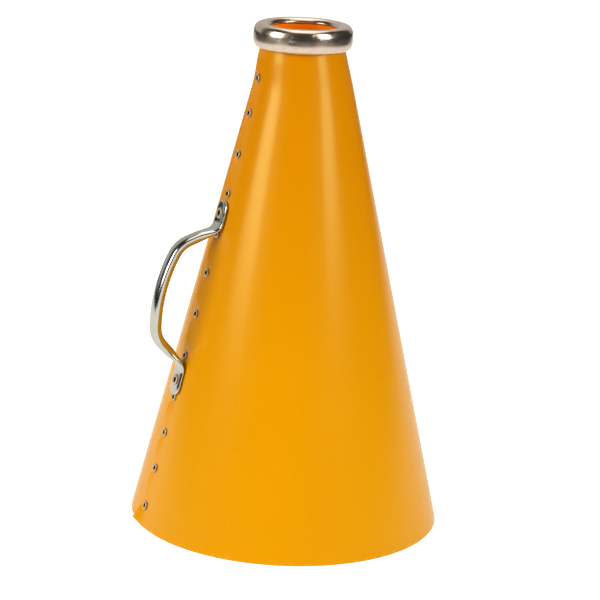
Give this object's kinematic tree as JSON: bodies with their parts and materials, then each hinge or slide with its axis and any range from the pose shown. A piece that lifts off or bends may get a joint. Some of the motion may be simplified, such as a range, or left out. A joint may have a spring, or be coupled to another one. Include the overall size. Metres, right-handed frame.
{
  "type": "handheld megaphone",
  "caption": "Acoustic hand megaphone: a riveted sheet cone with a rolled metal mouthpiece ring and a bent rod handle on its lap seam.",
  "frame": {"origin": "centre of the bell rim, in the plane of the rim that the horn stands on", "axes": "+Z along the horn's axis to the mouthpiece; -X towards the lap seam and the handle"},
  "size_m": [0.2023, 0.1999, 0.3225],
  "materials": {
    "yellow_plastic": "satin yellow sheet plastic with a very fine mottle",
    "nickel_ring": "warm nickel plate, lightly pitted",
    "nickel_handle": "polished nickel plate with fine scratches along the bar",
    "rivet_metal": "dull pinkish nickel plate"
  },
  "bodies": {
    "root": {"horn_sheet": "yellow_plastic", "mouthpiece_ring": "nickel_ring", "handle": "nickel_handle", "handle_rivet_upper": "rivet_metal", "handle_rivet_lower": "rivet_metal", "backing_washer_upper": "rivet_metal", "backing_washer_lower": "rivet_metal", "seam_rivet_01": "rivet_metal", "seam_rivet_02": "rivet_metal", "seam_rivet_03": "rivet_metal", "seam_rivet_04": "rivet_metal", "seam_rivet_05": "rivet_metal", "seam_rivet_06": "rivet_metal", "seam_rivet_07": "rivet_metal", "seam_rivet_08": "rivet_metal", "seam_rivet_09": "rivet_metal", "seam_rivet_10": "rivet_metal", "seam_rivet_11": "rivet_metal", "seam_rivet_12": "rivet_metal"}
  },
  "joints": []
}
